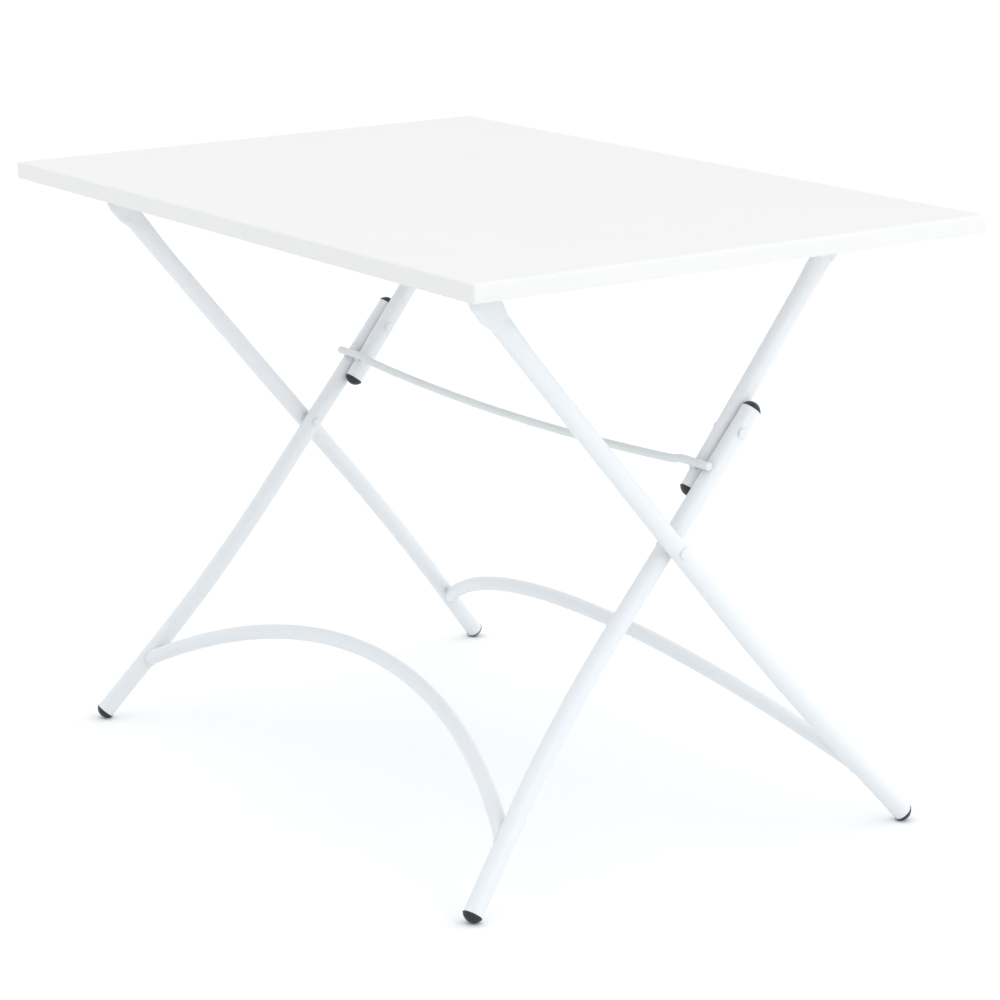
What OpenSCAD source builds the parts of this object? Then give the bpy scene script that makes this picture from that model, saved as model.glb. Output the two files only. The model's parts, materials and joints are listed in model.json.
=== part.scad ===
// Folding table: a pressed sheet-steel top on a scissor leg frame.
// Z is up, the floor is z = 0 and the origin is on the floor under the middle
// of the top. The short side of the top runs along X, the long side along Y.
// The table is drawn standing open. In every frame the legs lie in planes of
// constant Y; sides "a" are at -Y and sides "b" at +Y.

/* [Top] */
// Length of the top along Y
top_long = 1080; // [1060:5:1100]
// Width of the top along X
top_short = 700; // [690:2:720]
// Height of the top surface above the floor
top_height = 740; // [740:1:745]
// Depth of the turned-down skirt
skirt_depth = 21; // [18:0.5:24]
// Thickness of the sheet
sheet_thick = 1.5; // [1:0.25:2]
// Radius of the rolled edge
edge_radius = 4; // [3:0.5:6]

/* [Frames] */
// Outside diameter of the leg tubes
leg_dia = 23; // [22:0.25:23]
// Outside diameter of the curved cross tubes
arch_dia = 19; // [17:0.5:19]
// Wall of every tube
tube_wall = 1.5; // [1.2:0.1:2]
// Distance from the middle to the outer legs along Y
outer_y = 423.5; // [423:0.25:425]
// Spacing of neighbouring legs along Y
leg_pitch = 24.5; // [24.5:0.1:25]
// Height of the crossing pivot above the floor
cross_height = 373; // [372:0.5:374]
// Slope of the outer legs
outer_angle = 50.5; // [50.3:0.1:50.7]
// Slope of the middle legs
middle_angle = 50.1; // [49.9:0.1:50.3]
// Height of the pivots under the top
pivot_height = 704; // [703:0.5:705]
// Distance from the crossing to the knee along the middle legs
knee_reach = 158; // [157:0.5:159]

/* [Leg bend] */
// Distance below the crossing where a leg starts to splay
bend_start = 115; // [110:1:120]
// Radius of the splay bend
bend_radius = 1200; // [1150:10:1250]
// Sideways splay of the feet
splay_angle = 11.7; // [11:0.1:12]

/* [Cross tubes] */
// Crown of the outer cross tube below the crossing
outer_crown = 250; // [248:1:254]
// Bend radius of the outer cross tube
outer_bow = 800; // [780:5:820]
// Crown of the middle cross tube below the crossing
middle_crown = 253; // [250:1:256]
// Bend radius of the middle cross tube
middle_bow = 750; // [740:5:770]

/* [Stop bar] */
// Diameter of the stop bar
bar_dia = 10; // [9:0.25:10]
// Distance from the knee to the stop bar
bar_reach = 55; // [54:0.5:57]
// Half length of the stop bar
bar_half = 410; // [408:0.5:410.5]
// Bow of the bar towards the floor
bar_bow = 11; // [8:0.5:13]

/* [Pivots] */
// Diameter of every rivet shank
rivet_dia = 8; // [7:0.25:8]
// Running clearance of a rivet in its hole, on the radius
rivet_play = 0.06; // [0.04:0.01:0.1]
// Diameter of the rivet heads
head_dia = 13; // [12:0.5:14]

/* [Hidden] */
$fn = 64;
arc_fn = 720;
bar_arc_fn = 2880;
clear = 0.3;
leg_r = leg_dia / 2;
leg_bore_r = leg_r - tube_wall;
arch_r = arch_dia / 2;
rivet_r = rivet_dia / 2;
head_r = head_dia / 2;
head_high = 2.6;
middle_y = outer_y - leg_pitch;
strut_y = middle_y - leg_pitch;

// Linkage. The top is pivoted to the outer legs and to the struts; the knee
// joins the struts to the middle legs. Its four lengths let it fold flat.
rise = pivot_height - cross_height;
outer_up = rise / sin(outer_angle);
outer_pivot_x = -rise / tan(outer_angle);
knee_x = knee_reach * cos(middle_angle);
knee_z = cross_height + knee_reach * sin(middle_angle);
knee_drop = pivot_height - knee_z;
// strut = strut pivot x + fold_sum, from outer_up + strut = base + knee_reach
fold_sum = knee_reach - outer_up - outer_pivot_x;
strut_pivot_x = (knee_x * knee_x + knee_drop * knee_drop - fold_sum * fold_sum)
    / (2 * (knee_x + fold_sum));
strut_len = strut_pivot_x + fold_sum;
strut_angle = atan2(knee_drop, strut_pivot_x - knee_x);

// Feet
foot_r = 13.5;
cap_r = leg_r + 0.4;
cap_lip = 1.5;
cap_fit = 0.05;
plug_len = 12;
foot_base = sqrt(foot_r * foot_r - cap_r * cap_r);
splay_run = bend_radius * sin(splay_angle);
splay_out = bend_radius * (1 - cos(splay_angle));
outer_down = (cross_height - foot_r) / sin(outer_angle);
middle_down = (cross_height - foot_r) / sin(middle_angle);

// Flattened leg ends and brackets
tongue_thick = 6;
tongue_half = 17;
tongue_end = 14.5;
tongue_tip = 8;
tongue_clip = 11;
outer_shift = 2;
outer_flat = 44;
outer_taper = 80;
strut_flat = 26;
strut_taper = 60;
ear_gap = 0.4;
ear_thick = 2.5;
ear_r = 12;
base_long = 52;
base_wide = 30;
base_thick = 2.5;
ear_half = tongue_thick / 2 + ear_gap;

// Plain ends of the middle legs and struts past the knee
middle_past = 32;
strut_past = 82;
end_cap_high = 7;

// Stop bar
bar_r = bar_dia / 2;
bar_stand = leg_r + bar_r + clear + bar_reach * sin(strut_angle - middle_angle);
bar_sink = 5;
bar_step_y = strut_y - leg_r - 8;
bar_mid_y = bar_step_y - 16;
bar_step_u = 2;
bar_arc_r = (bar_mid_y * bar_mid_y + bar_bow * bar_bow) / (2 * bar_bow);
bar_arc_half = asin(bar_mid_y / bar_arc_r);
weld_len = 15;
weld_wide = 11;

white = [0.93, 0.94, 0.95];
black = [0.06, 0.06, 0.065];
eps = 0.01;
// Extra radius of the ball that joins two runs of a tube or bar
knuckle = 0.15;

// Local frame of a tube: X runs down the tube, Y is the table's Y and Z points
// away from the hollow side of the folded stack.
module lay(angle, x, z) {
    translate([x, 0, z]) rotate([0, angle, 0]) children();
}

module outer_place() { lay(outer_angle, 0, cross_height) children(); }
module middle_place() { lay(180 - middle_angle, 0, cross_height) children(); }
module strut_place() { lay(180 - strut_angle, knee_x, knee_z) children(); }

// side -1 is the -Y side, side 1 the +Y side
module side_of(side) {
    if (side < 0) mirror([0, 1, 0]) children();
    else children();
}

module rod_x(r, from, to) {
    translate([from, 0, 0]) rotate([0, 90, 0]) cylinder(r = r, h = to - from);
}

// Straight run, sideways bend and splayed run of one leg, radius r
module leg_path(r, y, from, foot) {
    run = (foot - bend_start - splay_run) / cos(splay_angle);
    translate([0, y, 0]) {
        rod_x(r, from, bend_start);
        translate([bend_start, bend_radius, 0]) rotate([0, 0, -90])
            rotate_extrude(angle = splay_angle, $fn = arc_fn)
                translate([bend_radius, 0]) circle(r = r, $fn = 64);
        translate([bend_start + splay_run, splay_out, 0]) rotate([0, 0, splay_angle]) {
            sphere(r = r + knuckle);
            rod_x(r, 0, run + foot_base - cap_lip);
        }
    }
}

// Cap on the foot: domed end, lip and a plug inside the tube
module foot_cap(y, foot) {
    run = (foot - bend_start - splay_run) / cos(splay_angle);
    translate([bend_start + splay_run, y + splay_out, 0]) rotate([0, 0, splay_angle])
        translate([run, 0, 0]) rotate([0, 90, 0]) {
            intersection() {
                sphere(r = foot_r);
                translate([0, 0, foot_base]) cylinder(r = cap_r, h = foot_r);
            }
            translate([0, 0, foot_base - cap_lip]) cylinder(r = cap_r, h = cap_lip);
            translate([0, 0, foot_base - cap_lip - plug_len])
                cylinder(r = leg_bore_r - cap_fit, h = plug_len);
        }
}

// Cap on a plain tube end at x = at, facing dir along X
module end_cap(y, at, dir) {
    dome_r = (cap_r * cap_r + end_cap_high * end_cap_high) / (2 * end_cap_high);
    translate([at, y, 0]) rotate([0, 90 * dir, 0]) {
        intersection() {
            translate([0, 0, cap_lip + end_cap_high - dome_r]) sphere(r = dome_r);
            translate([0, 0, cap_lip]) cylinder(r = cap_r, h = end_cap_high);
        }
        cylinder(r = cap_r, h = cap_lip);
        translate([0, 0, -plug_len]) cylinder(r = leg_bore_r - cap_fit, h = plug_len);
    }
}

// Flattened tube end around a pivot at x = at, with clipped corners and its
// middle set off the tube by shift; the round tube starts at x = at + flat + taper
module tongue(at, flat, taper, shift) {
    translate([at, 0, 0]) {
        translate([0, 0, shift]) rotate([90, 0, 0])
            linear_extrude(tongue_thick, center = true) polygon([
                [-tongue_end, -tongue_tip], [tongue_clip, -tongue_half], [flat, -tongue_half],
                [flat, tongue_half], [tongue_clip, tongue_half], [-tongue_end, tongue_tip]
            ]);
        hull() {
            translate([flat - eps, -tongue_thick / 2, shift - tongue_half])
                cube([eps, tongue_thick, 2 * tongue_half]);
            translate([flat + taper, 0, 0]) rotate([0, 90, 0]) cylinder(r = leg_r, h = eps, $fn = 32);
        }
    }
}

module pivot_hole(x, y) {
    translate([x, y, 0]) rotate([90, 0, 0])
        cylinder(r = rivet_r + rivet_play, h = 2 * leg_dia, center = true);
}

// Rivet along Y from y0 to y1 with a domed head on each end that is asked for
module rivet(y0, y1, head0, head1) {
    dome_r = (head_r * head_r + head_high * head_high) / (2 * head_high);
    translate([0, y0, 0]) rotate([-90, 0, 0]) cylinder(r = rivet_r, h = y1 - y0);
    if (head0) translate([0, y0, 0]) rotate([90, 0, 0]) intersection() {
        translate([0, 0, head_high - dome_r]) sphere(r = dome_r);
        cylinder(r = head_r, h = head_high);
    }
    if (head1) translate([0, y1, 0]) rotate([-90, 0, 0]) intersection() {
        translate([0, 0, head_high - dome_r]) sphere(r = dome_r);
        cylinder(r = head_r, h = head_high);
    }
}

module washer(y0, y1) {
    translate([0, y0, 0]) rotate([-90, 0, 0]) difference() {
        cylinder(r = head_r + 1, h = y1 - y0);
        translate([0, 0, -1]) cylinder(r = rivet_r + rivet_play, h = y1 - y0 + 2);
    }
}

// Slab with every edge rolled to radius r, its top face at z = 0
module rolled_slab(x, y, depth, r) {
    hx = x / 2 - r;
    hy = y / 2 - r;
    translate([-hx, -hy, -depth]) cube([2 * hx, 2 * hy, depth]);
    translate([-hx - r, -hy, -depth]) cube([2 * hx + 2 * r, 2 * hy, depth - r]);
    translate([-hx, -hy - r, -depth]) cube([2 * hx, 2 * hy + 2 * r, depth - r]);
    for (sx = [-1, 1], sy = [-1, 1]) translate([sx * hx, sy * hy, 0]) {
        translate([0, 0, -depth]) cylinder(r = r, h = depth - r);
        translate([0, 0, -r]) sphere(r = r);
    }
    for (sy = [-1, 1]) translate([-hx, sy * hy, -r]) rod_x(r, 0, 2 * hx);
    for (sx = [-1, 1]) translate([sx * hx, -hy, -r]) rotate([-90, 0, 0]) cylinder(r = r, h = 2 * hy);
}

module table_top() {
    color(white) translate([0, 0, top_height]) difference() {
        rolled_slab(top_short, top_long, skirt_depth, edge_radius);
        translate([0, 0, -sheet_thick]) rolled_slab(top_short - 2 * sheet_thick,
            top_long - 2 * sheet_thick, skirt_depth, edge_radius - sheet_thick);
    }
}

// Welded clevis under the top: a base plate and two ears around the pivot
module bracket(x, y) {
    under = top_height - sheet_thick;
    color(white) translate([x, y, 0]) {
        translate([-base_long / 2, -base_wide / 2, under - base_thick])
            cube([base_long, base_wide, base_thick]);
        for (s = [-1, 1]) translate([0, s * (ear_half + ear_thick / 2), 0]) difference() {
            union() {
                translate([-ear_r, -ear_thick / 2, pivot_height])
                    cube([2 * ear_r, ear_thick, under - base_thick - pivot_height]);
                translate([0, 0, pivot_height]) rotate([90, 0, 0])
                    cylinder(r = ear_r, h = ear_thick, center = true);
            }
            translate([0, 0, pivot_height]) rotate([90, 0, 0])
                cylinder(r = rivet_r + rivet_play, h = 2 * ear_thick, center = true);
        }
    }
}

module outer_bracket_a() { bracket(outer_pivot_x, -outer_y); }
module outer_bracket_b() { bracket(outer_pivot_x, outer_y); }
module strut_bracket_a() { bracket(strut_pivot_x, -strut_y); }
module strut_bracket_b() { bracket(strut_pivot_x, strut_y); }

module top_rivet(x, y) {
    reach = ear_half + ear_thick;
    color(white) translate([x, y, pivot_height]) rivet(-reach, reach, true, true);
}

module outer_top_rivet_a() { top_rivet(outer_pivot_x, -outer_y); }
module outer_top_rivet_b() { top_rivet(outer_pivot_x, outer_y); }
module strut_top_rivet_a() { top_rivet(strut_pivot_x, -strut_y); }
module strut_top_rivet_b() { top_rivet(strut_pivot_x, strut_y); }

// Outer frame: legs from the top to the floor, crown tube, feet
module outer_leg(side) {
    round_from = -outer_up + outer_flat + outer_taper;
    color(white) outer_place() side_of(side) difference() {
        union() {
            leg_path(leg_r, outer_y, round_from, outer_down);
            translate([0, outer_y, 0]) tongue(-outer_up, outer_flat, outer_taper, outer_shift);
        }
        leg_path(leg_bore_r, outer_y, round_from + 1, outer_down);
        pivot_hole(-outer_up, outer_y);
        pivot_hole(0, outer_y);
    }
}

module outer_leg_a() { outer_leg(-1); }
module outer_leg_b() { outer_leg(1); }

// Cross tube: an arc of radius bow with its crown at x = crown, cut to the legs
module arch(y, foot, crown, bow) {
    reach = asin((y + splay_out + leg_dia) / bow);
    difference() {
        translate([crown + bow, 0, 0]) rotate([0, 0, 180 - reach])
            rotate_extrude(angle = 2 * reach, $fn = arc_fn) translate([bow, 0]) difference() {
                circle(r = arch_r, $fn = 64);
                circle(r = arch_r - tube_wall, $fn = 64);
            }
        for (side = [-1, 1]) side_of(side) {
            leg_path(leg_r, y, bend_start - 1, foot);
            translate([bend_start + splay_run, y + splay_out, -leg_dia]) rotate([0, 0, splay_angle])
                translate([-2 * leg_dia, 0, 0]) cube([8 * leg_dia, 4 * leg_dia, 2 * leg_dia]);
        }
    }
}

module outer_arch() {
    color(white) outer_place() arch(outer_y, outer_down, outer_crown, outer_bow);
}

module outer_foot(side) {
    color(black) outer_place() side_of(side) foot_cap(outer_y, outer_down);
}

module outer_foot_a() { outer_foot(-1); }
module outer_foot_b() { outer_foot(1); }

// Middle frame: legs that cross the outer legs and end above the knee
module middle_leg(side) {
    color(white) middle_place() side_of(side) difference() {
        leg_path(leg_r, middle_y, -knee_reach - middle_past, middle_down);
        leg_path(leg_bore_r, middle_y, -knee_reach - middle_past - 1, middle_down);
        pivot_hole(0, middle_y);
        pivot_hole(-knee_reach, middle_y);
    }
}

module middle_leg_a() { middle_leg(-1); }
module middle_leg_b() { middle_leg(1); }

module middle_arch() {
    color(white) middle_place() arch(middle_y, middle_down, middle_crown, middle_bow);
}

module middle_foot(side) {
    color(black) middle_place() side_of(side) foot_cap(middle_y, middle_down);
}

module middle_foot_a() { middle_foot(-1); }
module middle_foot_b() { middle_foot(1); }

module middle_end_cap(side) {
    color(black) middle_place() side_of(side) end_cap(middle_y, -knee_reach - middle_past, -1);
}

module middle_end_cap_a() { middle_end_cap(-1); }
module middle_end_cap_b() { middle_end_cap(1); }

// Crossing rivet and the washer that keeps outer and middle legs apart
module cross_rivet(side) {
    color(white) outer_place() side_of(side)
        rivet(middle_y - leg_r, outer_y + leg_r, true, true);
}

module cross_rivet_a() { cross_rivet(-1); }
module cross_rivet_b() { cross_rivet(1); }

module cross_washer(side) {
    color(white) outer_place() side_of(side) washer(middle_y + leg_r + rivet_play, outer_y - leg_r);
}

module cross_washer_a() { cross_washer(-1); }
module cross_washer_b() { cross_washer(1); }

// Struts from the top to the knee and past it
module strut(side) {
    round_from = -strut_len + strut_flat + strut_taper;
    color(white) strut_place() side_of(side) difference() {
        translate([0, strut_y, 0]) {
            rod_x(leg_r, round_from, strut_past);
            tongue(-strut_len, strut_flat, strut_taper, 0);
        }
        translate([0, strut_y, 0]) rod_x(leg_bore_r, round_from + 1, strut_past + 1);
        pivot_hole(-strut_len, strut_y);
        pivot_hole(0, strut_y);
    }
}

module strut_a() { strut(-1); }
module strut_b() { strut(1); }

module strut_end_cap(side) {
    color(black) strut_place() side_of(side) end_cap(strut_y, strut_past, 1);
}

module strut_end_cap_a() { strut_end_cap(-1); }
module strut_end_cap_b() { strut_end_cap(1); }

// Stop bar across both struts: its ends lie over the middle legs and stop the
// knee just past straight; the middle is set down and bowed towards the floor
module stop_bar() {
    low = -bar_stand + bar_sink;
    step = [bar_step_u, bar_mid_y - bar_step_y, bar_sink];
    step_len = norm(step);
    color(white) strut_place() difference() {
        union() {
            for (side = [-1, 1]) side_of(side) {
                translate([bar_reach, bar_step_y, -bar_stand]) {
                    rotate([-90, 0, 0]) cylinder(r = bar_r, h = bar_half - bar_step_y);
                    sphere(r = bar_r + knuckle);
                    rotate([0, acos(step[2] / step_len), atan2(step[1], step[0])])
                        cylinder(r = bar_r, h = step_len);
                }
                translate([bar_reach + bar_step_u, bar_mid_y, low]) sphere(r = bar_r + knuckle);
                translate([bar_reach - weld_wide / 2, strut_y - weld_len / 2, -bar_stand])
                    cube([weld_wide, weld_len, bar_stand - leg_r + 2]);
            }
            translate([bar_reach + bar_step_u + bar_bow - bar_arc_r, 0, low])
                rotate([0, 0, -bar_arc_half]) rotate_extrude(angle = 2 * bar_arc_half, $fn = bar_arc_fn)
                    translate([bar_arc_r, 0]) circle(r = bar_r, $fn = 64);
        }
        for (side = [-1, 1]) side_of(side) translate([0, strut_y, 0])
            rod_x(leg_r, 0, strut_past);
    }
}

// Knee rivets in two halves, one held by the middle leg and one by the strut
module knee_rivet_outer(side) {
    color(white) middle_place() translate([-knee_reach, 0, 0]) side_of(side)
        rivet(middle_y - leg_r, middle_y + leg_r, false, true);
}

module knee_rivet_outer_a() { knee_rivet_outer(-1); }
module knee_rivet_outer_b() { knee_rivet_outer(1); }

module knee_rivet_inner(side) {
    color(white) strut_place() side_of(side)
        rivet(strut_y - leg_r, strut_y + leg_r, true, false);
}

module knee_rivet_inner_a() { knee_rivet_inner(-1); }
module knee_rivet_inner_b() { knee_rivet_inner(1); }

module knee_washer(side) {
    color(white) strut_place() side_of(side)
        washer(strut_y + leg_r, middle_y - leg_r - clear);
}

module knee_washer_a() { knee_washer(-1); }
module knee_washer_b() { knee_washer(1); }

table_top();
outer_bracket_a();
outer_bracket_b();
strut_bracket_a();
strut_bracket_b();
outer_top_rivet_a();
outer_top_rivet_b();
strut_top_rivet_a();
strut_top_rivet_b();
outer_leg_a();
outer_leg_b();
outer_arch();
outer_foot_a();
outer_foot_b();
middle_leg_a();
middle_leg_b();
middle_arch();
middle_foot_a();
middle_foot_b();
middle_end_cap_a();
middle_end_cap_b();
cross_rivet_a();
cross_rivet_b();
cross_washer_a();
cross_washer_b();
strut_a();
strut_b();
strut_end_cap_a();
strut_end_cap_b();
stop_bar();
knee_rivet_outer_a();
knee_rivet_outer_b();
knee_rivet_inner_a();
knee_rivet_inner_b();
knee_washer_a();
knee_washer_b();
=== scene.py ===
import json
import math

import bmesh
import bpy
from mathutils import Matrix, Vector


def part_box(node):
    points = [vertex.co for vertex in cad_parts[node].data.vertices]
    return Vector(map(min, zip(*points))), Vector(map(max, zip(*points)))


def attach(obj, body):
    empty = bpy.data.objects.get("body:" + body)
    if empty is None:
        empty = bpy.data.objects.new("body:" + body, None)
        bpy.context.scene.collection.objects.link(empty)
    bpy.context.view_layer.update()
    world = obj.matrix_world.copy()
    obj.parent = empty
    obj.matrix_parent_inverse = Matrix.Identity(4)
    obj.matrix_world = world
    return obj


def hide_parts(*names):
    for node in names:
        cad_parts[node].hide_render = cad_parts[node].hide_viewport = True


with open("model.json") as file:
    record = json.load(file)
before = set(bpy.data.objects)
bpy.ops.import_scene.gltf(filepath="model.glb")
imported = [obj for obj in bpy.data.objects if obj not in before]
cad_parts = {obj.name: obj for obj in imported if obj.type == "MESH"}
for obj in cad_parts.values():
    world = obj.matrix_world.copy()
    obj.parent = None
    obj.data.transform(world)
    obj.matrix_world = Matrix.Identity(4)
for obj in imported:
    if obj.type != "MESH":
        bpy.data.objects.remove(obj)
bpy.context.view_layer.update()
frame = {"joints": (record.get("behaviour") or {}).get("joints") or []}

# ---------------------------------------------------------------- dimensions, in metres
TUBE_R = 0.0115            # legs and struts
ARCH_R = 0.0095            # curved cross tubes
BAR_R = 0.005              # stop bar
SHANK_R = 0.004            # rivet shanks
HEAD_R = 0.0065            # rivet heads
HEAD_HIGH = 0.0026
HEAD_RIM = 0.0004          # height of the rim below the dome
HEAD_EDGE = 0.0002         # how far the head's underside is drawn in
WASHER_R = 0.0075
WASHER_EDGE = 0.0002
WASHER_PLAY = 0.00006      # between the washer and the shank
CAP_R = 0.0119             # lip of the black caps
CAP_LIP = 0.0015           # its height
CAP_EDGE = 0.0003
FOOT_R = 0.0135            # dome of the feet
END_CAP_HIGH = 0.007
PLUG_R = 0.0098            # the part of a cap inside the tube
PLUG_LEN = 0.012
PLUG_EDGE = 0.001

BEND_START = 0.115         # below the crossing
BEND_R = 1.2
SPLAY = math.radians(11.7)
SPLAY_RUN = BEND_R * math.sin(SPLAY)              # how far the bend goes down the tube
SPLAY_OUT = BEND_R * (1 - math.cos(SPLAY))        # and how far sideways
FOOT_BASE = math.sqrt(FOOT_R ** 2 - CAP_R ** 2)   # from the middle of the dome's ball to the lip
OUTER_CROWN, OUTER_BOW = 0.250, 0.800             # cross tubes: crown below the crossing, radius
MIDDLE_CROWN, MIDDLE_BOW = 0.253, 0.750
ARCH_SINK = 0.8                                   # reach into the leg, in tube radii

TONGUE_HALF_THICK = 0.003  # flattened ends, round their pivot
TONGUE_HALF = 0.017        # half width
TONGUE_END = 0.0145        # pivot to the end
TONGUE_TIP = 0.008         # half width at the end
TONGUE_RIM = 0.0008        # rounding of the end
TONGUE_CLIP = 0.011        # below the pivot, where the clipped corners reach the full width
OUTER_SHIFT = 0.002        # the tongue's middle stands off the tube's
OUTER_FLARE = (0.031, 0.050, 0.128)   # distances from the pivot: flat, oval, round
STRUT_FLARE = (0.020, 0.035, 0.086)
FLARE_GAP = 0.004          # from the last ring of the flare to the plain tube
OVAL_HALF_THICK = 0.0098
THICK_LATE = 0.016         # the thickness grows over a longer run than the width shrinks
OVAL_SWELL = 0.0035        # how much wider the oval run is on its broad side
MIDDLE_PAST = 0.032        # plain ends beyond the knee
STRUT_PAST = 0.082

BAR_REACH = 0.055          # stop bar: beyond the knee
BAR_BOW = 0.011            # how far its middle bows down the strut
BAR_SINK = 0.005           # how much nearer the bow lies to the struts than the ends
BAR_STEP_U = 0.002         # how far the bow's ends are down the strut from the bar's ends
BAR_STEP_Y = 0.016         # length of the step between them, sideways
BAR_FREE = 0.008           # from the strut's side to the step
BAR_PLAY = 0.0003          # between the bar and the middle legs
BAR_ROUND = 0.0012         # rounding of its ends
WELD_HALF = 0.0075         # half length of the bar's welds
WELD_WIDE, WELD_HIGH = 0.0046, 0.0030
WELD_LEAST = 0.0004        # half height at the weld's ends
WELD_BEAD_AT = (0.0042, 0.0005)       # from the bar's middle line, from the strut's surface
WELD_BEAD_RISE = 0.0022    # how far the bead's ends bend back over the strut

SHEET = 0.0015             # sheet of the top
EDGE_R = 0.004             # outside of its bent edge
EAR_GAP, EAR_THICK, EAR_R = 0.0004, 0.0025, 0.012
EAR_SINK = 0.0005          # reach of the ears into the base
BASE_LONG, BASE_WIDE, BASE_THICK = 0.052, 0.030, 0.0025
BASE_CORNER = 0.004
PRESSED_EDGE = 0.0004      # rounding of the brackets' edges

BEAD_R = 0.0016            # weld beads
BAR_BEAD_R = 0.0015
BEAD_OUT = 0.0002          # a bead's middle stands off the corner it fills
BEAD_DEEP = 0.0008         # how far it lies below the sheet at the base's ends

# ---------------------------------------------------------------- how fine the meshes are
AROUND = 48                # points round a tube
BAR_AROUND = 28
RIVET_AROUND = 32
WASHER_AROUND = 36
BEAD_AROUND = 12
WELD_AROUND = 24
BEND_STEPS = 28
FLARE_STEPS = 40
ARCH_STEPS = 72
STRAIGHT_STEP = 0.03       # rings along a straight run
ARCH_BEAD_POINTS = 56
FLAT_POWER = 5.0           # how square the section of a flattened end is
WELD_POWER = 2.4
MERGE = 1e-6               # points nearer than this are one
POLE_R = 1e-5              # a turned body's pole, closed by a very small face
SMALLEST_CORNER = 0.0002
CREASE = math.radians(38)  # steeper edges are shaded sharp
Y = Vector((0, 1, 0))
SIDES = (("a", -1), ("b", 1))

# ---------------------------------------------------------------- places, from the frame
TOP_LOW, TOP_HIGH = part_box("table_top")
joints = {j["name"]: Vector(j["pos_m"]) for j in frame["joints"]}
OUTER_PIVOT, CROSS, STRUT_PIVOT = (joints[n] for n in ("outer_fold", "cross_fold", "strut_fold"))


def middle_of(node):
    low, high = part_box(node)
    return (low + high) / 2


KNEE = middle_of("knee_washer_b")
KNEE.y = 0
OUTER_Y = middle_of("outer_bracket_b").y
STRUT_Y = middle_of("strut_bracket_b").y
MIDDLE_Y = (OUTER_Y + STRUT_Y) / 2
BAR_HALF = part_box("stop_bar")[1].y


class Place:
    """Local frame of a tube: u runs down the tube, y is the table's Y, w points off the tube."""

    def __init__(self, origin, top, bottom):
        self.origin = origin
        self.u = (bottom - top).normalized()
        self.w = self.u.cross(Y)

    def at(self, u, y, w=0.0):
        return self.origin + self.u * u + Y * y + self.w * w

    def splayed_run(self):
        """Length of the splayed run, from the end of the bend to the foot's cap."""
        dome_at = (self.origin.z - FOOT_R) / -self.u.z
        return (dome_at - BEND_START - SPLAY_RUN) / math.cos(SPLAY) + FOOT_BASE - CAP_LIP


OUTER = Place(CROSS, OUTER_PIVOT, CROSS)
MIDDLE = Place(CROSS, KNEE, CROSS)
STRUT = Place(KNEE, STRUT_PIVOT, KNEE)
OUTER_UP = (CROSS - OUTER_PIVOT).length
KNEE_REACH = (CROSS - KNEE).length
STRUT_LEN = (KNEE - STRUT_PIVOT).length
# the bar lies against the middle legs when the table stands
BAR_STAND = TUBE_R + BAR_R + BAR_PLAY + BAR_REACH * math.sin(STRUT.u.angle(MIDDLE.u))


# ---------------------------------------------------------------- materials
class Nodes:
    """Short calls for building one material's node tree."""

    def __init__(self, name):
        self.material = bpy.data.materials.new(name)
        self.material.use_nodes = True
        self.tree = self.material.node_tree
        self.bsdf = self.tree.nodes["Principled BSDF"]
        self.place = self.add("ShaderNodeTexCoord").outputs["Object"]

    def add(self, kind, **values):
        node = self.tree.nodes.new(kind)
        for key, value in values.items():
            setattr(node, key, value)
        return node

    def link(self, out, to):
        self.tree.links.new(out, to)

    def noise(self, scale, detail=2.0, rough=0.5):
        node = self.add("ShaderNodeTexNoise")
        self.link(self.place, node.inputs["Vector"])
        for key, value in (("Scale", scale), ("Detail", detail), ("Roughness", rough)):
            node.inputs[key].default_value = value
        return node.outputs["Fac"]

    def remap(self, value, low, high, to_low, to_high):
        node = self.add("ShaderNodeMapRange")
        self.link(value, node.inputs["Value"])
        ends = (("From Min", low), ("From Max", high), ("To Min", to_low), ("To Max", to_high))
        for key, end in ends:
            node.inputs[key].default_value = end
        return node.outputs["Result"]

    def mix(self, factor, first, second):
        """Colour mix; first and second are colours or sockets."""
        node = self.add("ShaderNodeMix", data_type="RGBA")
        self.link(factor, node.inputs["Factor"])
        for socket, value in zip((node.inputs[6], node.inputs[7]), (first, second)):
            if isinstance(value, bpy.types.NodeSocket):
                self.link(value, socket)
            else:
                socket.default_value = (*value, 1.0)
        return node.outputs[2]

    def bump(self, height, distance, strength, before=None):
        node = self.add("ShaderNodeBump")
        node.inputs["Distance"].default_value = distance
        node.inputs["Strength"].default_value = strength
        self.link(height, node.inputs["Height"])
        if before is not None:
            self.link(before, node.inputs["Normal"])
        return node.outputs["Normal"]

    def edges(self, radius, low):
        """1 on sharp convex and concave edges, 0 on the faces."""
        bevel = self.add("ShaderNodeBevel", samples=4)
        bevel.inputs["Radius"].default_value = radius
        dot = self.add("ShaderNodeVectorMath", operation="DOT_PRODUCT")
        self.link(bevel.outputs["Normal"], dot.inputs[0])
        self.link(self.add("ShaderNodeNewGeometry").outputs["Normal"], dot.inputs[1])
        return self.remap(dot.outputs["Value"], low, 1.0, 1.0, 0.0)

    def corners(self, reach):
        """1 deep in a corner between pieces, 0 in the open."""
        ao = self.add("ShaderNodeAmbientOcclusion", samples=6)
        ao.inputs["Distance"].default_value = reach
        return self.remap(ao.outputs["AO"], 0.35, 0.95, 1.0, 0.0)


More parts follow.
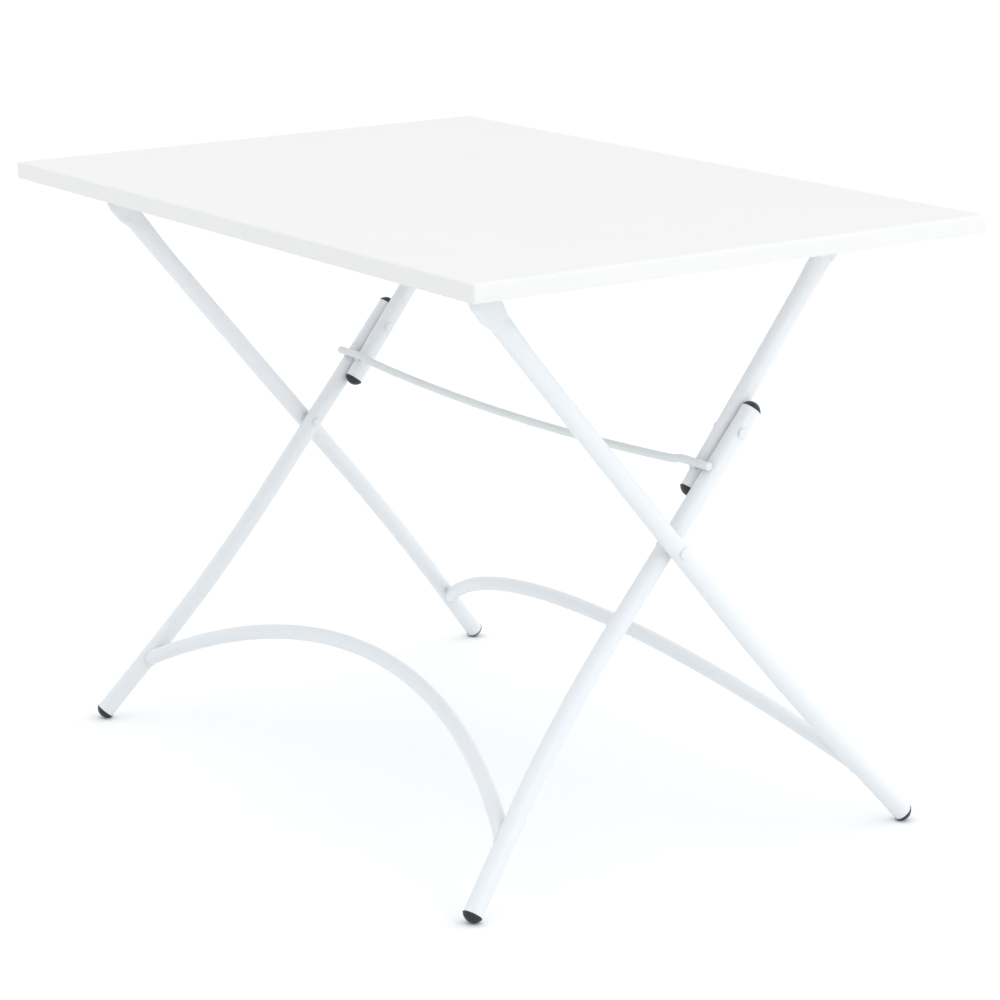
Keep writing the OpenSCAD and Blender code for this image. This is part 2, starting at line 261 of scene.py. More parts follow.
def powder_coat(name, light, shade, rough, peel, peel_deep, wave_deep=0.0, wear_and_shade_edge=0.0,
                wear_and_shade_most=0.40):
    """White powder coat: orange peel, thin paint on the edges with painted shade in their
    creases, painted shade in the corners.
    """
    n = Nodes(name)
    n.bsdf.inputs["IOR"].default_value = 1.5
    n.bsdf.inputs["Specular IOR Level"].default_value = 0.5
    # slow clouds of tone, then fine specks
    colour = n.mix(n.remap(n.noise(9.0, 4.0), 0.25, 0.75, 0.0, 1.0), light, shade)
    specks = n.remap(n.noise(700.0, 1.0), 0.70, 0.82, 0.0, 0.30)
    colour = n.mix(specks, colour, tuple(c * 0.93 for c in shade))
    if wear_and_shade_edge:                  # thin paint on convex edges, in patches; the darker concave edges and rims are painted shade
        edge = n.add("ShaderNodeMath", operation="MULTIPLY")
        n.link(n.edges(wear_and_shade_edge, 0.80), edge.inputs[0])
        n.link(n.remap(n.noise(60.0, 4.0, 0.7), 0.35, 0.65, wear_and_shade_most * 0.3, wear_and_shade_most),
               edge.inputs[1])
        colour = n.mix(edge.outputs["Value"], colour, tuple(c * 0.88 for c in shade))
    painted_corner_shade = n.remap(n.corners(0.006), 0.0, 1.0, 0.0, 0.30)     # painted shade in the corners, where ambient occlusion finds other pieces near
    colour = n.mix(painted_corner_shade, colour, (0.48, 0.48, 0.48))
    n.link(colour, n.bsdf.inputs["Base Color"])
    n.link(n.remap(n.noise(35.0, 3.0), 0.3, 0.7, rough, rough + 0.08), n.bsdf.inputs["Roughness"])
    skin = n.bump(n.noise(peel, 2.0), peel_deep, 0.5)
    if wave_deep:                  # a large sheet is never quite flat
        skin = n.bump(n.noise(5.0, 1.0), wave_deep, 1.0, skin)
    n.link(skin, n.bsdf.inputs["Normal"])
    return n.material


def black_plastic(name):
    """Moulded polyethylene: dull black, scuffed lighter on its edges."""
    n = Nodes(name)
    n.bsdf.inputs["IOR"].default_value = 1.5
    n.bsdf.inputs["Specular IOR Level"].default_value = 0.45
    tone = n.mix(n.remap(n.noise(180.0, 4.0), 0.3, 0.7, 0.0, 1.0), (0.008, 0.009, 0.012),
                 (0.017, 0.018, 0.022))
    scuff = n.add("ShaderNodeMath", operation="MULTIPLY")
    n.link(n.edges(0.0007, 0.85), scuff.inputs[0])
    n.link(n.remap(n.noise(420.0, 3.0), 0.45, 0.6, 0.0, 0.7), scuff.inputs[1])
    tone = n.mix(scuff.outputs["Value"], tone, (0.055, 0.057, 0.062))
    n.link(tone, n.bsdf.inputs["Base Color"])
    n.link(n.remap(n.noise(300.0, 3.0), 0.3, 0.7, 0.34, 0.50), n.bsdf.inputs["Roughness"])
    n.link(n.bump(n.noise(1100.0, 2.0), 0.00012, 0.4), n.bsdf.inputs["Normal"])
    return n.material


# strong edge darkening on the top: along the rolled lower rim it paints a shadow line, elsewhere
# it is thin paint
TOP_PAINT = powder_coat("top_powder_coat", (0.774, 0.761, 0.746), (0.766, 0.754, 0.741),
                        0.36, 520.0, 0.00005, wave_deep=0.0003, wear_and_shade_edge=0.0012,
                        wear_and_shade_most=0.80)
TUBE_PAINT = powder_coat("tube_powder_coat", (0.765, 0.780, 0.796), (0.755, 0.771, 0.789),
                         0.30, 420.0, 0.00005)
# a darker copy of the tube paint: painted shade for the bar's place under the top
SHADED_BAR_PAINT = powder_coat("bar_powder_coat_shaded", (0.710, 0.730, 0.730), (0.700, 0.721, 0.722),
                        0.30, 480.0, 0.00005, wear_and_shade_edge=0.0006)
SMALL_PAINT = powder_coat("fitting_powder_coat", (0.765, 0.777, 0.790), (0.752, 0.765, 0.780),
                          0.30, 520.0, 0.00006, wear_and_shade_edge=0.0006)
PLASTIC = black_plastic("cap_plastic")


# ---------------------------------------------------------------- mesh helpers
def spread(low, high, steps):
    """Evenly spaced values from low to high."""
    return [low + (high - low) * k / steps for k in range(steps + 1)]


def turns(count):
    """Angles of count points round a circle."""
    return [2 * math.pi * k / count for k in range(count)]


def finish_piece(name, bm, body, material, slot, *nodes):
    """Turns a bmesh into a shown piece that rides on body and stands for the CAD nodes."""
    bmesh.ops.remove_doubles(bm, verts=bm.verts, dist=MERGE)
    bmesh.ops.recalc_face_normals(bm, faces=bm.faces)
    for face in bm.faces:
        face.smooth = True
    for edge in bm.edges:
        if len(edge.link_faces) == 2:
            edge.smooth = edge.calc_face_angle() < CREASE
    mesh = bpy.data.meshes.new(name)
    bm.to_mesh(mesh)
    bm.free()
    mesh.materials.append(material)
    piece = bpy.data.objects.new(name, mesh)
    bpy.context.scene.collection.objects.link(piece)
    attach(piece, body)
    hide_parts(*nodes)


def skin_rings(bm, rings, closed=False):
    """Faces between rings of points. closed joins the last ring to the first, and otherwise
    both ends are capped."""
    verts = [[bm.verts.new(p) for p in ring] for ring in rings]
    count = len(verts[0])
    pairs = list(zip(verts, verts[1:])) + ([(verts[-1], verts[0])] if closed else [])
    for first, second in pairs:
        for k in range(count):
            m = (k + 1) % count
            bm.faces.new((first[k], first[m], second[m], second[k]))
    if not closed:
        bm.faces.new(verts[0])
        bm.faces.new(verts[-1])


def section(centre, along, up, across, high, power=2.0, count=AROUND):
    """Ring of a superellipse, across wide by high, square to along; power 2 is an ellipse."""
    side = along.cross(up).normalized()
    top = side.cross(along).normalized()
    ring = []
    for k in range(count):
        angle = 2 * math.pi * (k + 0.5) / count
        c, s = math.cos(angle), math.sin(angle)
        ring.append(centre + side * (across * math.copysign(abs(c) ** (2 / power), c))
                    + top * (high * math.copysign(abs(s) ** (2 / power), s)))
    return ring


def smooth_step(t):
    """From 0 to 1, level at both ends."""
    t = min(1.0, max(0.0, t))
    return t * t * (3 - 2 * t)


def ease_out(t):
    """From 0 to 1, quick at first and level at the end."""
    t = min(1.0, max(0.0, t))
    return 1 - (1 - t) ** 2 * (1 + 2 * t * 0.3)


def circle(centre, side, top, radius, count):
    return [centre + (side * math.cos(turn) + top * math.sin(turn)) * radius
            for turn in turns(count)]


def lathe(bm, origin, along, profile, count=AROUND):
    """Closed turned body; profile is (distance along, radius) pairs from pole to pole."""
    side = along.orthogonal().normalized()
    top = along.cross(side)
    skin_rings(bm, [circle(origin + along * distance, side, top, max(radius, POLE_R), count)
                    for distance, radius in profile])


def prism(bm, outline, depth, bevel):
    """Extrudes a flat outline of points by the vector depth, with its rim edges rounded off."""
    middle = sum(outline, Vector()) / len(outline)
    length = depth.length
    out = depth / length
    part = bevel * 0.3
    rings = []
    for at, inset in ((0, bevel), (part, part), (bevel, 0), (length - bevel, 0),
                      (length - part, part), (length, bevel)):
        rings.append([p - (p - middle).normalized() * inset + out * at for p in outline])
    skin_rings(bm, rings)


def rounded_rectangle(centre, half_x, half_y, radius, z, per_corner=8):
    """Level outline of points with its middle at centre, an (x, y) pair."""
    points = []
    radius = max(radius, SMALLEST_CORNER)
    for sx, sy, start in ((1, 1, 0), (-1, 1, 90), (-1, -1, 180), (1, -1, 270)):
        for k in range(per_corner + 1):
            turn = math.radians(start + 90 * k / per_corner)
            points.append(Vector((centre[0] + sx * (half_x - radius) + radius * math.cos(turn),
                                  centre[1] + sy * (half_y - radius) + radius * math.sin(turn),
                                  z)))
    return points


def bead(bm, points, radius, closed=False, ripple=0.10, pitch=0.0022):
    """Weld bead along points, with the small ripples of a weld under paint."""
    steps = [(b - a).length for a, b in zip(points, points[1:])]
    run, rings, last = 0.0, [], len(points) - 1
    for k, point in enumerate(points):
        before = points[k - 1] if k or closed else point
        after = points[(k + 1) % len(points)] if k < last or closed else point
        along = (after - before).normalized()
        up = along.orthogonal() if abs(along.y) > 0.9 else along.cross(Y)
        size = radius * (1 + ripple * math.sin(2 * math.pi * run / pitch))
        if not closed:                 # the ends taper off
            size *= math.sqrt(max(0.06, 1 - (2 * k / last - 1) ** 6))
        rings.append(section(point, along, up, size, size, count=BEAD_AROUND))
        run += steps[k] if k < last else 0.0
    skin_rings(bm, rings, closed=closed)


# ---------------------------------------------------------------- tubes
def bend_points(y, run, start):
    """(u, y, angle) along a leg: straight, sideways bend, splayed run down to the foot's cap."""
    points = [(start, y, 0.0)]
    while start + STRAIGHT_STEP < BEND_START - STRAIGHT_STEP / 3:
        start += STRAIGHT_STEP
        points.append((start, y, 0.0))
    for angle in spread(0.0, SPLAY, BEND_STEPS):
        points.append((BEND_START + BEND_R * math.sin(angle),
                       y + BEND_R * (1 - math.cos(angle)), angle))
    for share in (0.5, 1.0):
        points.append((BEND_START + SPLAY_RUN + run * share * math.cos(SPLAY),
                       y + SPLAY_OUT + run * share * math.sin(SPLAY), SPLAY))
    return points


def tongue_rings(place, side, y, at, flare, shift, swell_low):
    """Flattened tube end round a pivot at u = at: clipped corners, then flat, oval and round.
    shift moves the flat part along w; swell_low is how much the oval swells towards -w."""
    rings = []

    def ring(out, low, high, thick, power):
        rings.append(section(place.at(at + out, side * y, (high - low) / 2), place.u, place.w,
                             thick, (high + low) / 2, power))

    # distance from the pivot, half width, share of the thickness
    corner = ((-TONGUE_END, TONGUE_TIP * 0.86, 0.55),
              (-TONGUE_END + TONGUE_RIM * 0.3, TONGUE_TIP, 0.85),
              (-TONGUE_END + TONGUE_RIM, TONGUE_TIP + TONGUE_RIM * 0.4, 1.0),
              (TONGUE_CLIP - 0.0015, TONGUE_HALF - 0.0006, 1.0),
              (TONGUE_CLIP + 0.0005, TONGUE_HALF - 0.0001, 1.0),
              (TONGUE_CLIP + 0.003, TONGUE_HALF, 1.0))
    for out, half, thin in corner:
        ring(out, half - shift, half + shift, TONGUE_HALF_THICK * thin, FLAT_POWER)
    flat, oval, round_at = flare
    for t in spread(0.0, 1.0, FLARE_STEPS):
        out = flat + (round_at - flat) * t ** 1.5        # closer together near the tongue
        first = smooth_step((out - flat) / (oval - flat))
        rest = ease_out((out - oval) / (round_at - oval))
        low = TONGUE_HALF - shift + (TUBE_R + swell_low - TONGUE_HALF + shift) * first
        high = TONGUE_HALF + shift + (TUBE_R + OVAL_SWELL - TONGUE_HALF - shift) * first
        thick = TONGUE_HALF_THICK + (OVAL_HALF_THICK - TONGUE_HALF_THICK) * smooth_step(
            (out - flat) / (oval + THICK_LATE - flat))
        ring(out, low - swell_low * rest, high - OVAL_SWELL * rest,
             thick + (TUBE_R - OVAL_HALF_THICK) * rest,
             FLAT_POWER + (2.0 - FLAT_POWER) * first)
    return rings


def splayed_rings(place, side, y, start):
    """Rings of a leg from u = start down to its foot."""
    rings = []
    for u, out, angle in bend_points(y, place.splayed_run(), start):
        along = place.u * math.cos(angle) + Y * (side * math.sin(angle))
        rings.append(section(place.at(u, side * out), along, place.w, TUBE_R, TUBE_R))
    return rings


def make_outer_leg(letter, side):
    bm = bmesh.new()
    tongue = tongue_rings(OUTER, side, OUTER_Y, -OUTER_UP, OUTER_FLARE, OUTER_SHIFT, 0.0)
    start = -OUTER_UP + OUTER_FLARE[-1] + FLARE_GAP
    skin_rings(bm, tongue + splayed_rings(OUTER, side, OUTER_Y, start))
    finish_piece(f"outer_leg_{letter}_tube", bm, "outer_frame", TUBE_PAINT, "frame_tube",
                 f"outer_leg_{letter}")


def make_middle_leg(letter, side):
    bm = bmesh.new()
    skin_rings(bm, splayed_rings(MIDDLE, side, MIDDLE_Y, -KNEE_REACH - MIDDLE_PAST))
    finish_piece(f"middle_leg_{letter}_tube", bm, "middle_frame", TUBE_PAINT, "frame_tube",
                 f"middle_leg_{letter}")


def make_strut(letter, side):
    bm = bmesh.new()
    rings = tongue_rings(STRUT, side, STRUT_Y, -STRUT_LEN, STRUT_FLARE, 0.0, OVAL_SWELL)
    start = -STRUT_LEN + STRUT_FLARE[-1]
    for share in (0.33, 0.66, 1.0):
        rings.append(section(STRUT.at(start + (STRUT_PAST - start) * share, side * STRUT_Y),
                             STRUT.u, STRUT.w, TUBE_R, TUBE_R))
    skin_rings(bm, rings)
    finish_piece(f"strut_{letter}_tube", bm, "strut_frame", TUBE_PAINT, "frame_tube",
                 f"strut_{letter}")


def leg_gap(place, y, point):
    """How far a point is from the near side of the splayed leg on the +Y side; less than 0
    inside the leg and past its middle."""
    local = point - place.origin
    u, out = local.dot(place.u), local.y
    w = local.dot(place.w)
    if u < BEND_START + SPLAY_RUN:
        centre_u, centre_y = BEND_START, y + BEND_R
        from_axis = BEND_R - math.hypot(u - centre_u, out - centre_y)
    else:
        along_u, along_y = math.cos(SPLAY), math.sin(SPLAY)
        du, dy = u - BEND_START - SPLAY_RUN, out - y - SPLAY_OUT
        from_axis = dy * along_u - du * along_y
    return -TUBE_R if from_axis > 0 else math.hypot(from_axis, w) - TUBE_R


def arch_frame(place, crown, bow, angle):
    """Middle of the cross tube and its direction at an angle from the crown."""
    centre = place.at(crown + bow, 0)
    outward = place.u * -math.cos(angle) + Y * math.sin(angle)
    along = place.u * math.sin(angle) + Y * math.cos(angle)
    return centre + outward * bow, along


def make_arch(name, body, place, y, crown, bow):
    """Curved cross tube between the splayed legs, with a weld bead round both of its ends."""
    bm = bmesh.new()

    def point_at(angle, across, high):
        """A point of the tube's section at an angle from the crown."""
        centre, along = arch_frame(place, crown, bow, angle)
        side = along.cross(place.w).normalized()
        return centre + side * across + place.w * high

    def end_angle(across, high):
        """Where the line at that place in the tube's section meets the leg."""
        # angles surely short of the leg's surface and surely past it, then halving
        outside, inside = 0.2, math.asin((y + 2.5 * SPLAY_OUT) / bow)
        for _ in range(40):
            half = (outside + inside) / 2
            if leg_gap(place, y, point_at(half, across, high)) > 0:
                outside = half
            else:
                inside = half
        return outside

    reach = end_angle(0.0, 0.0) + TUBE_R * ARCH_SINK / bow
    rings = []
    for share in spread(-1, 1, ARCH_STEPS):
        point, along = arch_frame(place, crown, bow, reach * share)
        rings.append(section(point, along, place.w, ARCH_R, ARCH_R))
    skin_rings(bm, rings)
    for flip in (-1, 1):
        loop = []
        for turn in turns(ARCH_BEAD_POINTS):
            across, high = ARCH_R * math.cos(turn), ARCH_R * math.sin(turn)
            point = point_at(end_angle(across, high), across, high)
            loop.append(Vector((point.x, flip * point.y, point.z)))
        bead(bm, loop, BEAD_R, closed=True)
    finish_piece(f"{name}_tube", bm, body, TUBE_PAINT, "frame_tube", name)


def smoothed(points, rounds):
    """Corner cutting, so that a bent bar turns in small curves."""
    for _ in range(rounds):
        cut = [points[0]]
        for a, b in zip(points, points[1:]):
            cut += [a.lerp(b, 0.25), a.lerp(b, 0.75)]
        points = cut + [points[-1]]
    return points


def bar_line():
    """Middle line of the stop bar: bowed between the struts, stepped, straight at the ends."""
    step_y = STRUT_Y - TUBE_R - BAR_FREE
    mid_y = step_y - BAR_STEP_Y
    radius = (mid_y ** 2 + BAR_BOW ** 2) / (2 * BAR_BOW)
    half = []
    for y in spread(0.0, mid_y, 24):
        drop = BAR_BOW - (radius - math.sqrt(radius ** 2 - y ** 2))
        half.append((BAR_REACH + BAR_STEP_U + drop, y, -BAR_STAND + BAR_SINK))
    for y in spread(step_y, BAR_HALF, 4):
        half.append((BAR_REACH, y, -BAR_STAND))
    return smoothed([STRUT.at(u, -y, w) for u, y, w in reversed(half[1:])]
                    + [STRUT.at(u, y, w) for u, y, w in half], 2)


def bar_rings(line):
    """Round sections along the line, with rounded ends."""
    rings = []
    last = len(line) - 1
    for k, point in enumerate(line):
        along = (line[min(k + 1, last)] - line[max(k - 1, 0)]).normalized()
        if k in (0, last):
            inward = along if k == 0 else -along
            ends = [section(point + inward * BAR_ROUND * share, along, STRUT.w, BAR_R * size,
                            BAR_R * size, count=BAR_AROUND)
                    for share, size in ((0.0, 0.70), (0.25, 0.90), (1.0, 1.0))]
            rings += ends if k == 0 else ends[::-1]
        elif min((point - line[0]).length, (point - line[last]).length) > 2 * BAR_ROUND:
            rings.append(section(point, along, STRUT.w, BAR_R, BAR_R, count=BAR_AROUND))
    return rings


def bar_weld(bm, side):
    """Filled gap between the bar and a strut, with a bead along both of its edges."""
    y = side * STRUT_Y
    middle = STRUT.at(BAR_REACH, y, -(TUBE_R + BAR_STAND - BAR_R) / 2)
    blob = []
    for t in spread(-1, 1, 14):
        swell = math.sqrt(max(0.02, 1 - t ** 4))
        lump = 1 + 0.05 * math.sin(9 * t)
        blob.append(section(middle + Y * (WELD_HALF * t), Y, STRUT.w, WELD_WIDE * swell * lump,
                            WELD_HIGH * swell + WELD_LEAST, WELD_POWER, WELD_AROUND))
    skin_rings(bm, blob)
    for edge in (-1, 1):
        bead(bm, [STRUT.at(BAR_REACH + edge * WELD_BEAD_AT[0], y + WELD_HALF * t,
                           -TUBE_R - WELD_BEAD_AT[1] + WELD_BEAD_RISE * t * t)
                  for t in spread(-1, 1, 24)], BAR_BEAD_R)


def make_stop_bar():
    bm = bmesh.new()
    skin_rings(bm, bar_rings(bar_line()))
    for _, side in SIDES:
        bar_weld(bm, side)
    finish_piece("stop_bar_rod", bm, "strut_frame", SHADED_BAR_PAINT, "frame_tube", "stop_bar")


# ---------------------------------------------------------------- caps, rivets, washers
def dome(start, radius, high, steps=12):
    """(distance, radius) pairs of a spherical dome that ends at start + high."""
    ball = (radius ** 2 + high ** 2) / (2 * high)
    wide = math.asin(radius / ball) if high < radius else math.pi - math.asin(radius / ball)
    return [(start + high - ball + ball * math.cos(wide * (1 - k / steps)),
             ball * math.sin(wide * (1 - k / steps))) for k in range(steps + 1)]


def cap_profile(high):
    """Plug, groove, rounded lip and a dome that is high above the lip."""
    under = -0.0001                # the lip starts a hair inside the tube's end
    edge, lip = CAP_EDGE, CAP_LIP
    groove = lip + edge * 0.5
    return ([(-PLUG_LEN, 0.0), (-PLUG_LEN, PLUG_R - PLUG_EDGE), (-PLUG_LEN + PLUG_EDGE, PLUG_R),
             (under, PLUG_R), (under, CAP_R - edge), (edge, CAP_R), (lip - edge, CAP_R),
             (lip, CAP_R - edge), (groove, CAP_R - edge * 1.4)]
            + dome(groove, CAP_R - edge * 1.6, high - edge * 0.5)[1:])


def make_foot(frame_name, letter, side, place, y):
    along = place.u * math.cos(SPLAY) + Y * (side * math.sin(SPLAY))
    origin = (place.at(BEND_START + SPLAY_RUN, side * (y + SPLAY_OUT))
              + along * place.splayed_run())
    bm = bmesh.new()
    lathe(bm, origin, along, cap_profile(FOOT_R - FOOT_BASE))
    finish_piece(f"{frame_name}_foot_{letter}_cap", bm, f"{frame_name}_frame", PLASTIC,
                 "black_caps", f"{frame_name}_foot_{letter}")


def make_end_cap(node, body, origin, along):
    bm = bmesh.new()
    lathe(bm, origin, along, cap_profile(END_CAP_HIGH))
    finish_piece(f"{node}_plug", bm, body, PLASTIC, "black_caps", node)


def rivet_profile(low, high, head_low, head_high):
    """Shank from low to high with a pressed dome on the ends that are asked for."""
    head = dome(HEAD_RIM, HEAD_R, HEAD_HIGH - HEAD_RIM)
    under = HEAD_R - HEAD_EDGE
    front = [(high, SHANK_R), (high, under)] + [(high + d, r) for d, r in head]
    back = [(low - d, r) for d, r in reversed(head)] + [(low, under), (low, SHANK_R)]
    profile = back if head_low else [(low, 0.0), (low, SHANK_R)]
    return profile + (front if head_high else [(high, SHANK_R), (high, 0.0)])


def make_rivet(node, body, centre, low, high, head_low=True, head_high=True, side=1):
    """Rivet along Y. low and high are distances along side * Y."""
    bm = bmesh.new()
    profile = rivet_profile(low, high, head_low, head_high)
    lathe(bm, centre, Y * side, profile, RIVET_AROUND)
    finish_piece(f"{node}_pin", bm, body, SMALL_PAINT, "fasteners", node)


def make_washer(node, body):
    low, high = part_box(node)
    centre = (low + high) / 2
    half, edge = (high.y - low.y) / 2, WASHER_EDGE
    inside = SHANK_R + WASHER_PLAY
    profile = [(-half, inside), (-half, WASHER_R - edge), (-half + edge, WASHER_R),
               (half - edge, WASHER_R), (half, WASHER_R - edge), (half, inside)]
    side, top = Vector((1, 0, 0)), Vector((0, 0, 1))
    bm = bmesh.new()
    skin_rings(bm, [circle(centre + Y * d, side, top, r, WASHER_AROUND) for d, r in profile],
               closed=True)
    finish_piece(f"{node}_ring", bm, body, SMALL_PAINT, "fasteners", node)


# ---------------------------------------------------------------- brackets
def make_bracket(node, pivot, y):
    """Base plate under the sheet, two ears round the tongue, and their weld beads."""
    bm = bmesh.new()
    under = TOP_HIGH.z - SHEET
    base = under - BASE_THICK
    plate = rounded_rectangle((pivot.x, y), BASE_LONG / 2, BASE_WIDE / 2, BASE_CORNER, base, 5)
    prism(bm, plate, Vector((0, 0, BASE_THICK)), PRESSED_EDGE)
    for sy in (-1, 1):
        near = y + sy * (TONGUE_HALF_THICK + EAR_GAP)
        ear = [Vector((pivot.x + EAR_R, near, base + EAR_SINK))]
        for turn in spread(0.0, math.pi, 24):
            ear.append(Vector((pivot.x + EAR_R * math.cos(turn), near,
                               pivot.z - EAR_R * math.sin(turn))))
        ear.append(Vector((pivot.x - EAR_R, near, base + EAR_SINK)))
        prism(bm, ear, Vector((0, sy * EAR_THICK, 0)), PRESSED_EDGE)
        bead(bm, [Vector((pivot.x + EAR_R * 0.92 * t, near + sy * (EAR_THICK + BEAD_OUT),
                          base - BEAD_OUT)) for t in spread(-1, 1, 40)], BEAD_R)
    for sx in (-1, 1):
        bead(bm, [Vector((pivot.x + sx * BASE_LONG / 2, y + BASE_WIDE * 0.36 * t,
                          under - BEAD_DEEP)) for t in spread(-1, 1, 40)], BEAD_R)
    finish_piece(f"{node}_clevis", bm, "top", SMALL_PAINT, "frame_tube", node)


# ---------------------------------------------------------------- table top
def make_top():
    """Sheet with a bent skirt and a rolled lower rim."""
    half_x = (TOP_HIGH.x - TOP_LOW.x) / 2
    half_y = (TOP_HIGH.y - TOP_LOW.y) / 2
    depth = TOP_HIGH.z - TOP_LOW.z
    rim = SHEET / 2
    inner = EDGE_R - SHEET
    # (inset, depth) from the middle of the upper side, round the rim, to under the sheet
    profile = [(0.060, 0.0), (0.020, 0.0), (0.008, 0.0)]
    for turn in spread(0.0, math.pi / 2, 10):
        profile.append((EDGE_R * (1 - math.sin(turn)), EDGE_R * (1 - math.cos(turn))))
    profile.append((0.0, depth * 0.55))
    for turn in spread(0.0, math.pi, 8):
        profile.append((rim * (1 - math.cos(turn)), depth - rim + rim * math.sin(turn)))
    profile.append((SHEET, depth * 0.55))
    for turn in spread(0.0, math.pi / 2, 6):
        profile.append((SHEET + inner * (1 - math.cos(turn)), EDGE_R - inner * math.sin(turn)))
    profile += [(0.020, SHEET), (0.060, SHEET)]
    bm = bmesh.new()
    skin_rings(bm, [rounded_rectangle((0.0, 0.0), half_x - inset, half_y - inset,
                                      EDGE_R - inset, TOP_HIGH.z - deep)
                    for inset, deep in profile])
    finish_piece("table_top_pan", bm, "top", TOP_PAINT, "top_sheet", "table_top")


# ---------------------------------------------------------------- build
EARS = TONGUE_HALF_THICK + EAR_GAP + EAR_THICK     # tongue's middle to the ears' outside

make_top()
for letter, side in SIDES:
    make_outer_leg(letter, side)
    make_middle_leg(letter, side)
    make_strut(letter, side)
    make_foot("outer", letter, side, OUTER, OUTER_Y)
    make_foot("middle", letter, side, MIDDLE, MIDDLE_Y)
    make_end_cap(f"middle_end_cap_{letter}", "middle_frame",
                 MIDDLE.at(-KNEE_REACH - MIDDLE_PAST, side * MIDDLE_Y), -MIDDLE.u)
    make_end_cap(f"strut_end_cap_{letter}", "strut_frame",
                 STRUT.at(STRUT_PAST, side * STRUT_Y), STRUT.u)
    make_bracket(f"outer_bracket_{letter}", OUTER_PIVOT, side * OUTER_Y)
    make_bracket(f"strut_bracket_{letter}", STRUT_PIVOT, side * STRUT_Y)
    make_rivet(f"outer_top_rivet_{letter}", "top", OUTER_PIVOT + Y * side * OUTER_Y, -EARS, EARS)
    make_rivet(f"strut_top_rivet_{letter}", "top", STRUT_PIVOT + Y * side * STRUT_Y, -EARS, EARS)
    make_rivet(f"cross_rivet_{letter}", "outer_frame", CROSS, MIDDLE_Y - TUBE_R,
               OUTER_Y + TUBE_R, side=side)
    make_rivet(f"knee_rivet_outer_{letter}", "middle_frame", KNEE, MIDDLE_Y - TUBE_R,
               MIDDLE_Y + TUBE_R, head_low=False, side=side)
    make_rivet(f"knee_rivet_inner_{letter}", "strut_frame", KNEE, STRUT_Y - TUBE_R,
               STRUT_Y + TUBE_R, head_high=False, side=side)
    make_washer(f"cross_washer_{letter}", "outer_frame")
    make_washer(f"knee_washer_{letter}", "strut_frame")
make_arch("outer_arch", "outer_frame", OUTER, OUTER_Y, OUTER_CROWN, OUTER_BOW)
make_arch("middle_arch", "middle_frame", MIDDLE, MIDDLE_Y, MIDDLE_CROWN, MIDDLE_BOW)
make_stop_bar()


# ---------------------------------------------------------------- stage, light, camera
SKY = (0.80, 0.815, 0.825)
# (direction towards the light, colour and strength, tightness)
SOFT_LIGHTS = (((0.75, -0.42, 0.45), (0.78, 0.85, 0.90), 4.0),
               ((-1.0, -0.3, 0.2), (0.03, 0.08, 0.15), 2.5),
               ((-0.2, 0.3, 1.0), (0.66, 0.64, 0.60), 3.0))
KEY_AT, KEY_AIM = (0.2, -2.4, 1.2), (0, -0.2, 0.4)
KEY_SIZE, KEY_POWER, KEY_COLOUR = 1.0, 5.5, (0.96, 0.98, 1.0)
FLOOR_HALF = 60.0
CAMERA_AT = (-2.1241, -3.2708, 1.3537)
CAMERA_TURN = (33.444, -14.494, -0.797)    # yaw, pitch, roll in degrees
SENSOR, LENS = 36.0, 116.32                # in mm


def make_floor():
    bm = bmesh.new()
    bm.faces.new([bm.verts.new((x * FLOOR_HALF, y * FLOOR_HALF, 0)) for x, y in
                  ((-1, -1), (1, -1), (1, 1), (-1, 1))])
    mesh = bpy.data.meshes.new("floor")
    bm.to_mesh(mesh)
    bm.free()
    n = Nodes("floor_paper")
    n.bsdf.inputs["Roughness"].default_value = 0.9
    n.bsdf.inputs["Specular IOR Level"].default_value = 0.1
    n.link(n.mix(n.noise(3.0, 2.0), (0.93, 0.93, 0.93), (0.95, 0.95, 0.95)),
           n.bsdf.inputs["Base Color"])
    mesh.materials.append(n.material)
    floor = bpy.data.objects.new("floor", mesh)
    bpy.context.scene.collection.objects.link(floor)


def make_key_light():
    data = bpy.data.lights.new("key", "AREA")
    data.shape, data.size, data.size_y = "RECTANGLE", KEY_SIZE, KEY_SIZE
    data.energy, data.color = KEY_POWER, KEY_COLOUR
    light = bpy.data.objects.new("key", data)
    light.location = KEY_AT
    light.rotation_euler = (Vector(KEY_AIM) - Vector(KEY_AT)).to_track_quat("-Z", "Y").to_euler()
    bpy.context.scene.collection.objects.link(light)


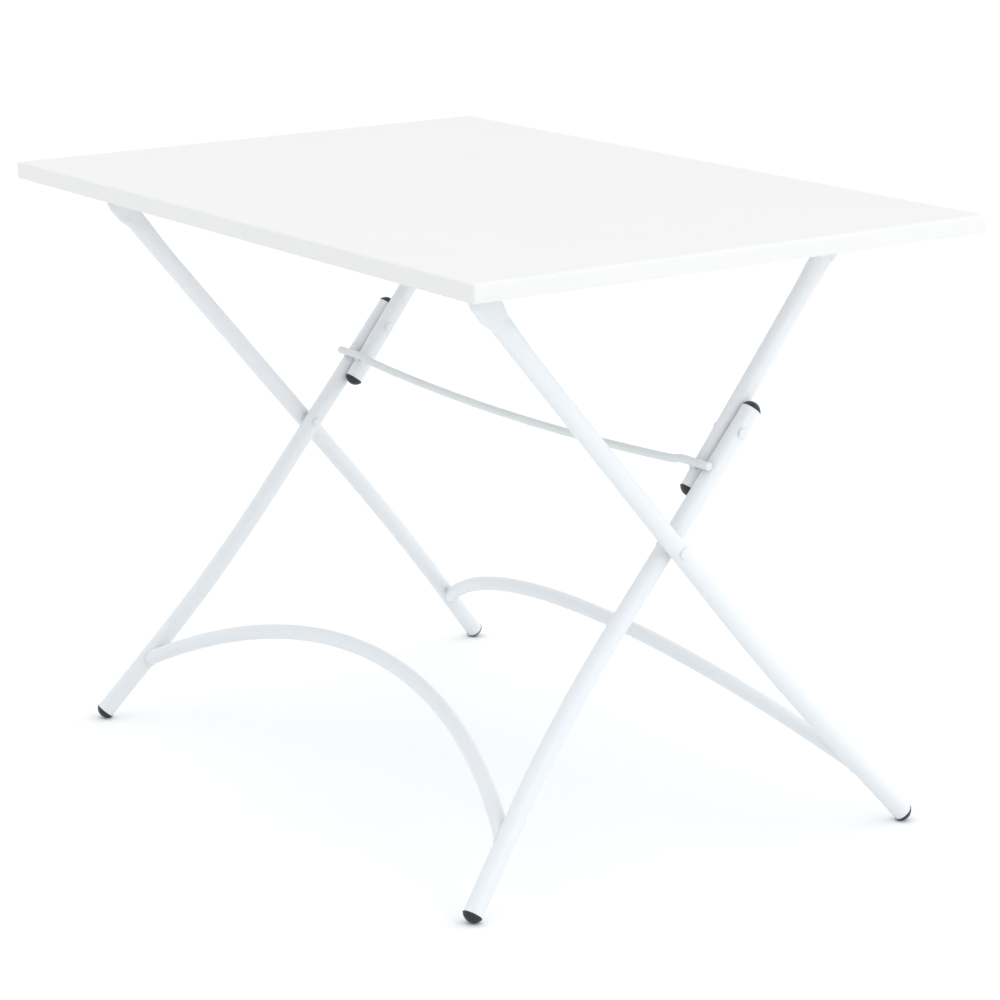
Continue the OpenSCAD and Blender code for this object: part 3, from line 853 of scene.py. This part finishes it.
def make_world():
    """Even white studio, brighter where three large soft lights would be."""
    world = bpy.data.worlds.new("studio")
    bpy.context.scene.world = world
    world.use_nodes = True
    tree = world.node_tree
    direction = tree.nodes.new("ShaderNodeTexCoord").outputs["Generated"]

    def maths(kind, operation, first, second=None):
        """A maths node with a link on its first input and perhaps a value on its second."""
        node = tree.nodes.new(kind)
        node.operation = operation
        tree.links.new(first, node.inputs[0])
        if second is not None:
            node.inputs[1].default_value = second
        return node

    total = None
    for aim, colour, tightness in SOFT_LIGHTS:
        dot = maths("ShaderNodeVectorMath", "DOT_PRODUCT", direction, Vector(aim).normalized())
        above = maths("ShaderNodeMath", "MAXIMUM", dot.outputs["Value"], 0.0)
        lobe = maths("ShaderNodeMath", "POWER", above.outputs["Value"], tightness)
        scale = tree.nodes.new("ShaderNodeVectorMath")
        scale.operation = "SCALE"
        scale.inputs[0].default_value = colour
        tree.links.new(lobe.outputs["Value"], scale.inputs["Scale"])
        add = maths("ShaderNodeVectorMath", "ADD", scale.outputs["Vector"])
        if total is None:
            add.inputs[1].default_value = SKY
        else:
            tree.links.new(total, add.inputs[1])
        total = add.outputs["Vector"]
    tree.links.new(total, tree.nodes["Background"].inputs["Color"])


def make_camera():
    data = bpy.data.cameras.new("camera")
    data.sensor_width, data.lens = SENSOR, LENS
    data.clip_end = 200.0
    yaw, pitch, roll = (math.radians(angle) for angle in CAMERA_TURN)
    ahead = Vector((math.sin(yaw) * math.cos(pitch), math.cos(yaw) * math.cos(pitch),
                    math.sin(pitch)))
    right = Vector((math.cos(yaw), -math.sin(yaw), 0.0))
    up = right.cross(ahead)
    right, up = (right * math.cos(roll) + up * math.sin(roll),
                 up * math.cos(roll) - right * math.sin(roll))
    camera = bpy.data.objects.new("camera", data)
    turn = Matrix((right, up, -ahead)).transposed().to_4x4()
    camera.matrix_world = Matrix.Translation(CAMERA_AT) @ turn
    bpy.context.scene.collection.objects.link(camera)
    bpy.context.scene.camera = camera


make_floor()
make_world()
make_key_light()
make_camera()
bpy.context.scene.view_settings.view_transform = "Standard"
